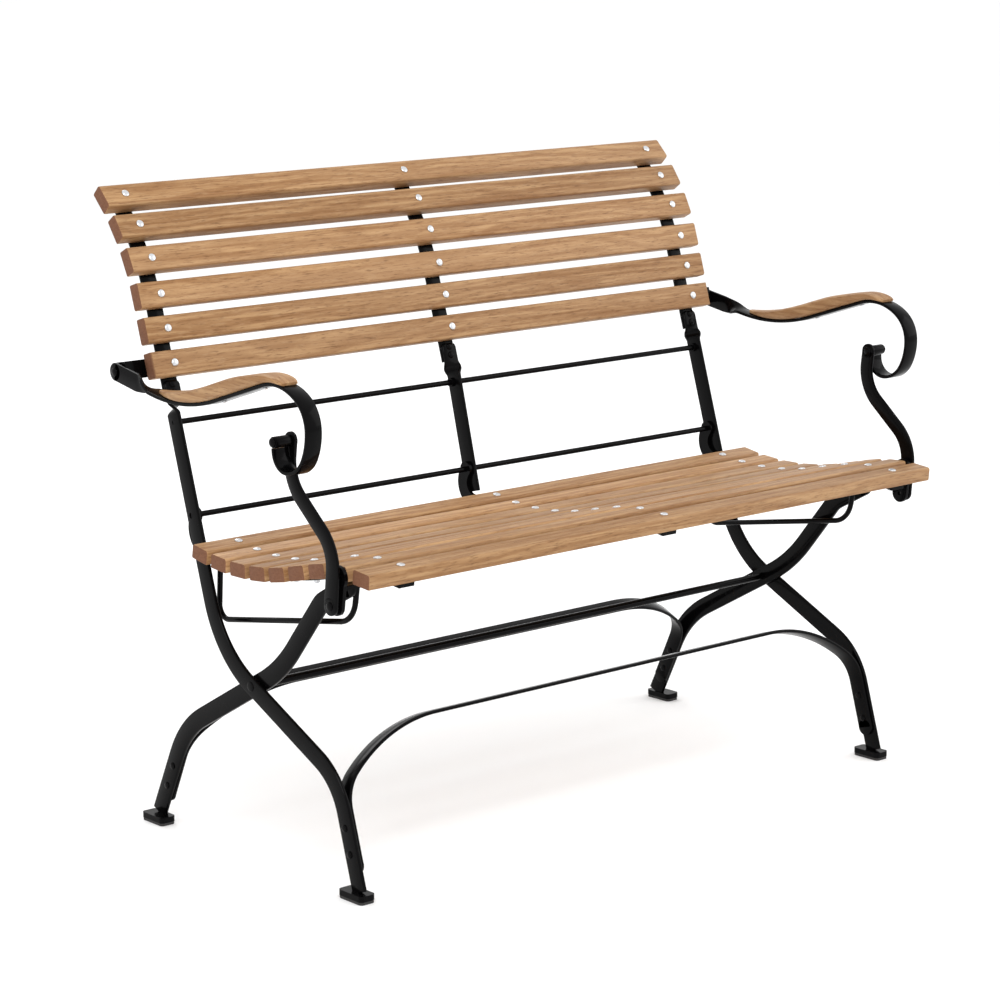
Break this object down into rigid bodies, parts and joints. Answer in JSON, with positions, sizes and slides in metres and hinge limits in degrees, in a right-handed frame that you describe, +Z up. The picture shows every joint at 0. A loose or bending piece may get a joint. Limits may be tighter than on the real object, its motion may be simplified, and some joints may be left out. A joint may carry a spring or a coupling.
{
  "type": "folding garden bench",
  "caption": "Two-seat folding garden bench: crossed flat steel legs, oak slats on a curved seat and back, scrolled steel arms with oak armrests",
  "frame": {"origin": "on the ground under the crossing of the legs, in the middle of the bench", "axes": "+X across the bench to a sitter's left, +Y to the back, +Z up"},
  "size_m": [1.145, 0.6046, 0.8975],
  "materials": {
    "black_steel": "gloss black paint over forged flat bar and rod",
    "oak_slats": "oiled oak with a fine long grain and darker end grain",
    "zinc_screws": "bright zinc plated pan heads and nuts",
    "foot_pads": "matt black rubber"
  },
  "bodies": {
    "frame": {"left_side_bar": "black_steel", "right_side_bar": "black_steel", "centre_stile": "black_steel", "left_back_bar": "black_steel", "centre_back_bar": "black_steel", "right_back_bar": "black_steel", "upper_crossbar_rod": "black_steel", "lower_crossbar_rod": "black_steel", "crossing_rod": "black_steel", "collars": "black_steel", "front_stretcher": "black_steel", "frame_rivets": "black_steel", "front_feet": "black_steel", "front_foot_pads": "foot_pads", "back_slat_1": "oak_slats", "back_slat_2": "oak_slats", "back_slat_3": "oak_slats", "back_slat_4": "oak_slats", "back_slat_5": "oak_slats", "back_slat_6": "oak_slats", "back_screws": "zinc_screws", "back_nuts": "zinc_screws", "left_arm_bracket": "black_steel", "right_arm_bracket": "black_steel", "arm_pivot_rivets": "black_steel"},
    "rear_legs": {"left_rear_leg": "black_steel", "right_rear_leg": "black_steel", "rear_stretcher": "black_steel", "rear_leg_rivets": "black_steel", "rear_feet": "black_steel", "rear_foot_pads": "foot_pads", "slide_pins": "black_steel"},
    "seat": {"seat_slat_1": "oak_slats", "seat_slat_2": "oak_slats", "seat_slat_3": "oak_slats", "seat_slat_4": "oak_slats", "seat_slat_5": "oak_slats", "seat_slat_6": "oak_slats", "seat_slat_7": "oak_slats", "seat_slat_8": "oak_slats", "seat_slat_9": "oak_slats", "seat_screws": "zinc_screws", "seat_nuts": "zinc_screws", "left_seat_bar": "black_steel", "centre_seat_bar": "black_steel", "right_seat_bar": "black_steel", "guide_wires": "black_steel", "left_arm_link": "black_steel", "right_arm_link": "black_steel"},
    "left_arm": {"left_arm_ribbon": "black_steel", "left_armrest": "oak_slats", "left_armrest_screws": "zinc_screws"},
    "right_arm": {"right_arm_ribbon": "black_steel", "right_armrest": "oak_slats", "right_armrest_screws": "zinc_screws"},
    "left_post": {"left_post": "black_steel", "left_post_pins": "black_steel"},
    "right_post": {"right_post": "black_steel", "right_post_pins": "black_steel"}
  },
  "joints": [
    {"name": "seat_fold", "type": "hinge", "parent": "frame", "child": "seat", "pos_m": [0, 0.128, 0.459], "axis": [-1, 0, 0], "range_deg": [0, 84]},
    {"name": "rear_legs_fold", "type": "hinge", "parent": "frame", "child": "rear_legs", "pos_m": [0, 0, 0.244], "axis": [-1, 0, 0], "range_deg": [0, 60.48]},
    {"name": "left_arm_swing", "type": "hinge", "parent": "frame", "child": "left_arm", "pos_m": [-0.5555, 0.209, 0.654], "axis": [-1, 0, 0], "range_deg": [0, 84]},
    {"name": "right_arm_swing", "type": "hinge", "parent": "frame", "child": "right_arm", "pos_m": [0.5555, 0.209, 0.654], "axis": [-1, 0, 0], "range_deg": [0, 84]},
    {"name": "left_post_swing", "type": "hinge", "parent": "left_arm", "child": "left_post", "pos_m": [-0.539, -0.161, 0.608], "axis": [1, 0, 0], "range_deg": [0, 80.64]},
    {"name": "right_post_swing", "type": "hinge", "parent": "right_arm", "child": "right_post", "pos_m": [0.539, -0.161, 0.608], "axis": [1, 0, 0], "range_deg": [0, 80.64]}
  ],
  "couplings": [
    {"joint": "rear_legs_fold", "follows": "seat_fold", "ratio": 0.72},
    {"joint": "left_arm_swing", "follows": "seat_fold", "ratio": 1},
    {"joint": "right_arm_swing", "follows": "seat_fold", "ratio": 1},
    {"joint": "left_post_swing", "follows": "seat_fold", "ratio": 0.96},
    {"joint": "right_post_swing", "follows": "seat_fold", "ratio": 0.96}
  ]
}
